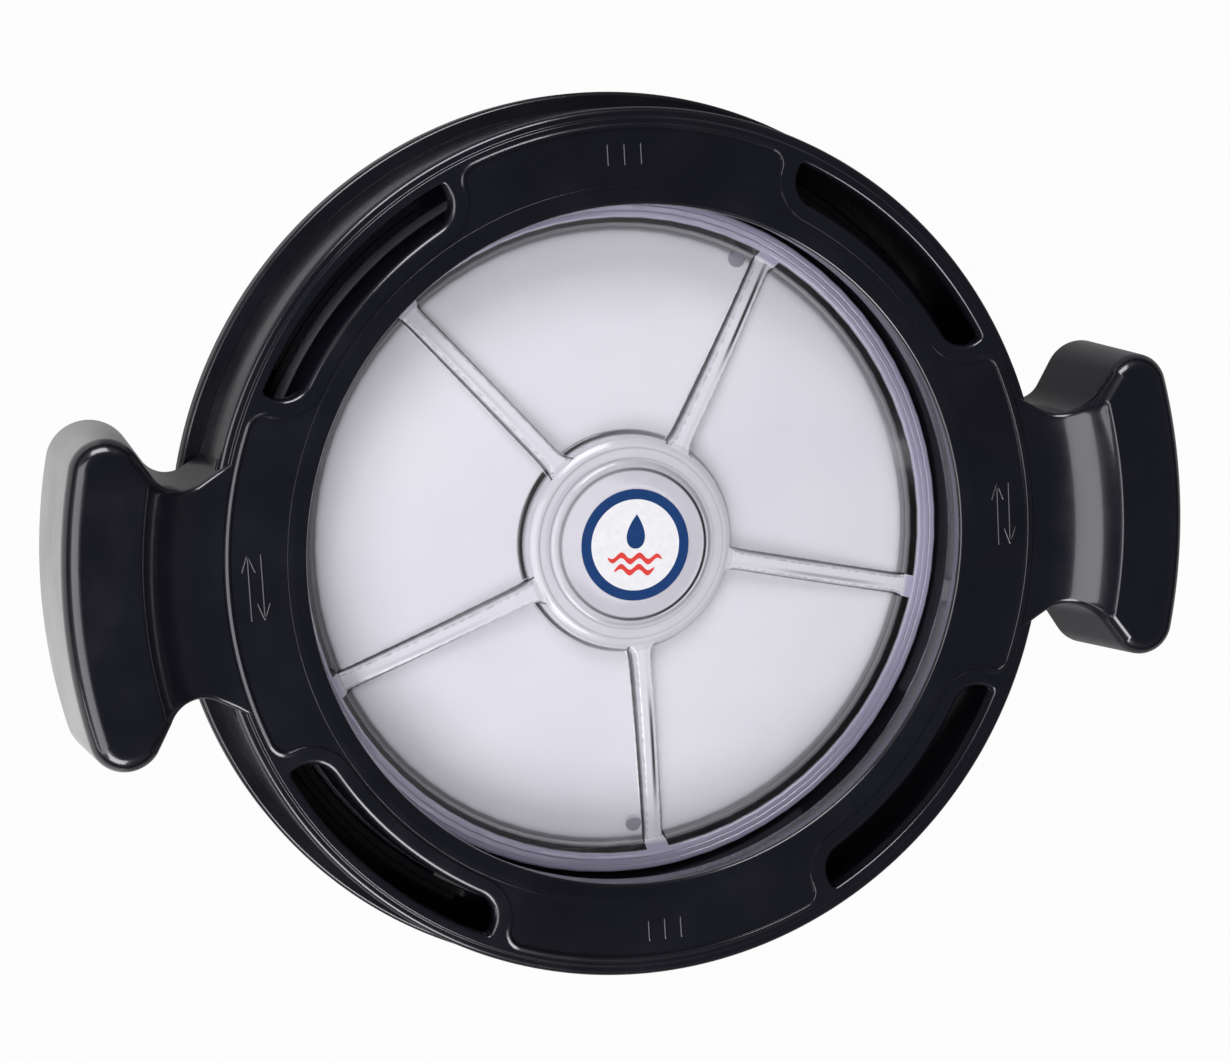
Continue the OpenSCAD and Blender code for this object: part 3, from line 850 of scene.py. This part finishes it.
def lid_height(radius, across):
    """Height of the lid's upper face: the highest of hub, rib and curb over the domed floor."""
    hub = np.interp(
        radius,
        [20.1, 20.5, 20.9, 21.3, 22.2, 26.6, 28.0, 28.5, 28.8, 29.2, 29.4],
        [26.2, 26.1, 25.4, 24.6, 23.95, 23.2, 22.4, 21.4, 20.6, 17.8, 0],
    )
    floor = ball_cap(radius, HUB_FOOT, 17.5, CURB_IN, 10)
    floor = floor + 0.5 * np.exp(-np.maximum(radius - 29.3, 0) / 0.4)
    curb = np.interp(
        radius, [82.7, 86.2, 86.5, 86.9, 90.9, 91.3, 91.5], [10.2, 14.3, 14.75, 15, 15, 14.8, 14.3]
    )
    curb = curb - 0.22 * sum(ridge(radius, groove, 0.16) for groove in CURB_GROOVES)
    cap = ball_cap(radius, HUB_FOOT, 22.5, CURB_IN, 11.7)
    side = np.interp(
        np.abs(across),
        [1.5, 1.85, 2.0, 2.1, 2.75, 2.85, 3.0, 3.3], [1, 0.97, 0.9, 0.8, 0.12, 0.06, 0.02, 0],
    )
    rib = floor + (cap - floor) * side
    return np.maximum(np.maximum(rib, hub), curb)


def lid_tint(radius, angle, across, rib):
    """Dark lines that stand for bent light: along ribs, round the hub and before the curb.

    Each line is a ridge across its own place. The hub's inner line is darker to one side of
    the lid and its outer line to the other. The curb's top and the rib ends on it are lilac.
    """
    size = np.abs(across)
    beads = 0.5 + 0.5 * np.sin(4.1 * radius + 2.5 * np.sin(1.3 * radius + rib))
    lines = ridge(size, 2.65, 0.3, 4) + 0.2 * beads * ridge(size, 2.7, 0.5)
    lines = lines + 0.55 * beads * ridge(size, 1.8, 0.14)
    core_mid = np.array([70, 60, 60, 58, 60])[rib]
    core_side = np.array([-0.65, 0.6, 0.6, 0.7, -0.8])[rib]
    core_dark = np.array([1.1, 0.2, 0.2, 1.0, 0.5])[rib]
    core = core_dark * ridge(across, core_side, 0.5, 4)
    lines = lines + core * (0.1 + 0.9 * ridge(radius, core_mid, 15, 4))
    lines = lines * ((radius > 28) & (radius < 84.5))
    away = 0.5 + 0.5 * np.cos(angle + radians(20))
    hub = ridge(radius, 20.5 - 0.9 * away, 0.45, 4) * (0.5 + 0.6 * away)
    hub = hub + ridge(radius, 29.5, 0.6, 4) * (0.4 + 0.7 * (1 - away)) * (size > 3.2)
    steps = ridge(radius, 22.9, 0.2) + ridge(radius, 25.6, 0.25)
    hub = hub + 0.3 * steps * (1.2 - 0.6 * away) + 0.14 * ((radius > 20.3) & (radius < 29.2))
    shade = 0.55 * np.exp(-np.maximum(83.0 - radius, 0) / 0.9) * (radius < 84) * (size > 2.9)
    wall = np.interp(
        radius, [82.4, 84.0, 84.7, 85.0, 86.2, 86.5], [0, 0.6, 0.8, 0.996, 0.996, 0]
    )
    light = 1 - np.clip(lines + hub + shade, 0, 0.99)
    light = (light * (1 - wall * (size > 2.4)))[..., None]
    on_curb = np.interp(radius, [86.2, 86.6], [0, 1])
    on_pad = (size < 2.4) * np.interp(radius, [84.6, 85.4], [0, 1])
    on_curb = np.maximum(on_curb, on_pad)[..., None]
    fine = sum(ridge(radius, groove, 0.2) for groove in CURB_GROOVES)
    lilac = np.array(CURB_LILAC) * (1 - 0.25 * fine)[..., None]
    return light * (1 - on_curb) + lilac * on_curb


def make_lid():
    """Clear lid: ribbed dome and curb above, hub pocket and spigot below, flange between."""
    lid = Surface()
    rows = lid_rows()
    angles, across, rib = lid_columns(rows)
    radius = np.broadcast_to(rows[:, None], angles.shape)
    across = np.broadcast_to(across, angles.shape)
    points = np.stack([
        radius * np.cos(angles), radius * np.sin(angles), lid_height(radius, across),
    ], -1)
    lid.grid(points, round_columns=True, tint=lid_tint(radius, angles, across, rib))
    lid.fill([points[0, :, :2]], HUB_TOP)
    outside = rounded(
        [
            (91.5, 14.3), (91.6, 13), (FLANGE_EDGE - 0.1, 13), (FLANGE_EDGE + 0.1, 13),
            (LID_R, 13), (LID_R, 9), (90.2, 9),
            (90.2, 3.6), (91, 3.6), (91, LID_LOW), (86.65, LID_LOW), (86.65, 3),
        ],
        [0.2, 0, 0, 0.5, 0.3, 0.3, 0.2, 0.2, 0.3, 0.3], steps=4,
    )
    directions = points[-1, :, :2] / rows[-1]
    ring = np.concatenate([points[-1:], swept(outside[1:], directions)])
    # Painted shade: the lid's walls, flange and spigot inside the flange's edge, under the ring, are
    # tinted near black; the flange beyond is a dimmer lilac grey
    rim = (np.hypot(ring[..., 0], ring[..., 1]) > FLANGE_EDGE)[..., None]
    lid.grid(ring, round_columns=True, tint=np.where(rim, CLEAR_RIM, CLEAR_SHADE_UNDER_RING))
    dome = np.linspace(84, 21.5, 24)
    under = np.concatenate([
        [(86.65, 3), (86.65, 5.6), (86.2, 6.0)],
        np.stack([dome, ball_cap(dome, HUB_FOOT, 13.5, CURB_IN, 6)], 1),
        [(21, 15), (21, 17), (16, 22.2), (0, 22.2)],
    ])
    lid.grid(swept(under, directions), round_columns=True)
    lid.tint = CLEAR_BOSS
    boss = [(0, 11.4), (1.38, 11.4), (2.07, 11.3), (2.3, 11.0), (2.3, 9.6)]
    for place, direction in ((82, 62.6), (79, -90)):
        lid.grid(turned(swept(boss, circle(1, 32)) + (place, 0, 0), direction), round_columns=True)
    lid.piece("clear_lid", clear, "lid", "clear_plastic", "lid")


# ---- label ----

def make_label():
    """Round printed film: blue border, a blue water drop and two red waves on white."""
    low, top = LABEL_TOP - LABEL_THICK, LABEL_TOP

    def film(name, lines, material, rise):
        """A layer of the label between closed lines, with its top so far below the label's."""
        sheet = Surface()
        sheet.fill(lines, top - rise)
        for line in lines:
            sheet.band(line, side_of(line), (0, 0), (top - rise, low))
        sheet.fill(lines, low)
        sheet.piece(name, material, "lid", "label_film", "label")

    turn = radians(LABEL_LEAN)
    spin = np.array([[cos(turn), sin(turn)], [-sin(turn), cos(turn)]])
    film("label_face", [circle(LABEL_R - 2.6, 120)], white_film, 0.06)
    film("label_border", [circle(LABEL_R, 120), circle(LABEL_R - 2.7, 120)], blue_film, 0.04)
    t = np.linspace(0, 2 * np.pi, 65)[:-1]
    drop = np.stack([-3.3 * np.sin(t) * np.sin(t / 2), 3.6 + 4.6 * np.cos(t)], 1)
    film("label_drop", [drop @ spin], blue_film, 0.0)
    x = np.linspace(-WAVE_REACH, WAVE_REACH, 81)
    for number, (level, length) in enumerate(((-3.6, WAVE_REACH), (-6.6, 5.6))):
        across = x * length / WAVE_REACH
        middle = level + 0.8 * np.sin(across * 1.25)
        half = 0.75 * np.sqrt(np.clip(1 - (x / WAVE_REACH) ** 4, 0, 1)) + 0.02
        wave = np.vstack([
            np.stack([across, middle - half], 1), np.stack([across, middle + half], 1)[::-1],
        ])
        film(f"label_wave_{number + 1}", [wave @ spin], red_film, 0.0)


# ---- finishes, and the pieces that wear them ----

cam_black = black_plastic("cam ring plastic", BLACK, (0.18, 0.3), 0.8)
ramp_black = black_plastic("ramp ring plastic", BLACK, (0.2, 0.32), 0.6)
clear = clear_plastic("clear lid plastic")
rubber = seal_rubber("seal rubber")
white_film = printed_film("white label film", (0.9, 0.9, 0.9))
blue_film = printed_film("blue label ink", (0.009, 0.047, 0.17))
red_film = printed_film("red label ink", (0.80, 0.06, 0.05))


def make_cam_ring():
    """Clamp ring and its two handles, which stand for the CAD node."""
    ring = ring_body()
    panel_marks(ring)
    ring.piece("clamp_ring", cam_black, "cam_ring", "cam_plastic", "cam_ring")
    handle_shell(0).piece("right_handle", cam_black, "cam_ring", "cam_plastic", "cam_ring", crease=38)
    handle_shell(180).piece("left_handle", cam_black, "cam_ring", "cam_plastic", "cam_ring", crease=38)


def paint(node, material):
    """A CAD node kept as it is, with a finish of its own."""
    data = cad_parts[node].data
    data.materials.clear()
    data.materials.append(material)


make_cam_ring()
make_ramp_ring()
make_lid()
make_label()
paint("lid_seal", rubber)


# ---- studio ----

CAMERA_TARGET = (0.0026, 0.0003, 0)
CAMERA_AWAY = (153.84, 71.29, 0.7576)
CAMERA_ROLL = 111.87
CAMERA_LENS = 80.8
LAMP_TARGET = (0, 0, 0.02)
LAMP_COLOUR = (0.96, 0.95, 1.0)
FLOOR_GREY = 0.2
FLOOR_GLOW = 0.975
FLOOR_HALF = 4.0


def look_from(target, azimuth, elevation, distance, roll=0.0):
    """Where something stands that faces target from a direction, with a roll about its view."""
    az, el = radians(azimuth), radians(elevation)
    away = Vector((cos(el) * cos(az), cos(el) * sin(az), sin(el)))
    turn = away.to_track_quat("Z", "Y").to_matrix().to_4x4()
    return (
        Matrix.Translation(Vector(target) + distance * away)
        @ turn
        @ Matrix.Rotation(radians(roll), 4, "Z")
    )


def make_camera():
    """The camera over the part, a little in front of it and to one side."""
    camera = bpy.data.objects.new("camera", bpy.data.cameras.new("camera"))
    camera.data.sensor_width = 36
    camera.data.lens = CAMERA_LENS
    camera.matrix_world = look_from(CAMERA_TARGET, *CAMERA_AWAY, CAMERA_ROLL)
    bpy.context.scene.collection.objects.link(camera)
    bpy.context.scene.camera = camera


def make_lamp(name, azimuth, elevation, distance, size, power, roll=0.0):
    """A rectangular soft box that faces the part, rolled about its own beam."""
    lamp = bpy.data.lights.new(name, "AREA")
    lamp.shape = "RECTANGLE"
    lamp.size, lamp.size_y = size
    lamp.energy = power
    lamp.color = LAMP_COLOUR
    obj = bpy.data.objects.new(name, lamp)
    obj.matrix_world = look_from(LAMP_TARGET, azimuth, elevation, distance, roll)
    bpy.context.scene.collection.objects.link(obj)


def combined(nodes, links, operation, first, second):
    """One value from a socket and another socket or a number."""
    node = nodes.new("ShaderNodeMath")
    node.operation = operation
    links.new(first, node.inputs[0])
    if isinstance(second, float):
        node.inputs[1].default_value = second
    else:
        links.new(second, node.inputs[1])
    return node.outputs[0]


def coordinates(nodes, links, kind):
    """X, Y and Z in one kind of coordinates."""
    where = nodes.new("ShaderNodeTexCoord")
    split = nodes.new("ShaderNodeSeparateXYZ")
    links.new(where.outputs[kind], split.inputs[0])
    return split.outputs


def ranged(nodes, links, source, places, values, smooth=False):
    """A value that goes from the first to the second as its source goes between two places."""
    change = nodes.new("ShaderNodeMapRange")
    if smooth:
        change.interpolation_type = "SMOOTHSTEP"
    change.inputs["From Min"].default_value, change.inputs["From Max"].default_value = places
    change.inputs["To Min"].default_value, change.inputs["To Max"].default_value = values
    links.new(source, change.inputs["Value"])
    return change.outputs["Result"]


def mixed(nodes, links, share, first, second, output_kind):
    """A share of the second shader in the first, joined to the output."""
    mix = nodes.new("ShaderNodeMixShader")
    links.new(share, mix.inputs[0])
    links.new(first.outputs[0], mix.inputs[1])
    links.new(second.outputs[0], mix.inputs[2])
    output = nodes.new(output_kind)
    links.new(mix.outputs[0], output.inputs["Surface"])


def white_share(nodes, links):
    """How white a ray sees the floor: wholly from the camera and through clear plastic.

    A reflection sees it white beyond the left handle and almost unlit elsewhere.
    """
    path = nodes.new("ShaderNodeLightPath")
    x = coordinates(nodes, links, "Object")["X"]
    beyond = ranged(nodes, links, x, (-0.155, -0.12), (0.75, 0.09), smooth=True)
    seen = combined(nodes, links, "MULTIPLY", path.outputs["Is Glossy Ray"], beyond)
    seen = combined(nodes, links, "MAXIMUM", path.outputs["Is Camera Ray"], seen)
    return combined(nodes, links, "MAXIMUM", seen, path.outputs["Is Transmission Ray"])


def make_floor():
    """A plain floor under the part: dim to the light, and all but wholly white to the eye."""
    low = CAD_BOX[0][2]
    half = FLOOR_HALF
    data = bpy.data.meshes.new("floor")
    data.from_pydata(
        [(-half, -half, low), (half, -half, low), (half, half, low), (-half, half, low)],
        [], [(0, 1, 2, 3)],
    )
    floor = bpy.data.objects.new("floor", data)
    bpy.context.scene.collection.objects.link(floor)
    material, nodes, links = new_material("pale floor")
    diffuse = nodes.new("ShaderNodeBsdfDiffuse")
    diffuse.inputs["Color"].default_value = (FLOOR_GREY, FLOOR_GREY, FLOOR_GREY, 1)
    glow = nodes.new("ShaderNodeEmission")
    glow.inputs["Color"].default_value = (1, 1, 1, 1)
    glow.inputs["Strength"].default_value = 1.0
    share = combined(nodes, links, "MULTIPLY", white_share(nodes, links), FLOOR_GLOW)
    mixed(nodes, links, share, diffuse, glow, "ShaderNodeOutputMaterial")
    data.materials.append(material)


def make_world():
    """Pale surroundings, brighter to the left and dark overhead; white to the camera."""
    world = bpy.data.worlds.new("studio")
    bpy.context.scene.world = world
    world.use_nodes = True
    nodes, links = world.node_tree.nodes, world.node_tree.links
    nodes.clear()
    sphere = coordinates(nodes, links, "Generated")
    sky = tone(nodes, links, sphere["Z"], [
        (0.0, 0.05), (0.35, 0.08), (0.5, 0.36), (0.8, 0.12), (1.0, 0.05),
    ])
    lit = nodes.new("ShaderNodeVectorMath")
    lit.operation = "SCALE"
    links.new(sky, lit.inputs[0])
    less = ranged(nodes, links, sphere["X"], (-0.8, 0.8), (1.3, 0.3))
    links.new(less, lit.inputs["Scale"])
    around = nodes.new("ShaderNodeBackground")
    links.new(lit.outputs["Vector"], around.inputs["Color"])
    around.inputs["Strength"].default_value = 0.8
    white = nodes.new("ShaderNodeBackground")
    white.inputs["Color"].default_value = (1, 1, 1, 1)
    white.inputs["Strength"].default_value = 1.0
    path = nodes.new("ShaderNodeLightPath")
    mixed(nodes, links, path.outputs["Is Camera Ray"], around, white, "ShaderNodeOutputWorld")


make_camera()
make_lamp("left box", 190, 52, 1.6, (1.5, 1.05), 12.8)
make_lamp("left strip", 208, 18, 1.6, (0.8, 0.16), 1.2, 45)
make_lamp("back box", 100, 42, 1.7, (0.9, 0.7), 15)
make_lamp("front box", -110, 45, 1.8, (0.8, 0.8), 15.5)
make_floor()
make_world()
bpy.context.scene.view_settings.view_transform = "Standard"
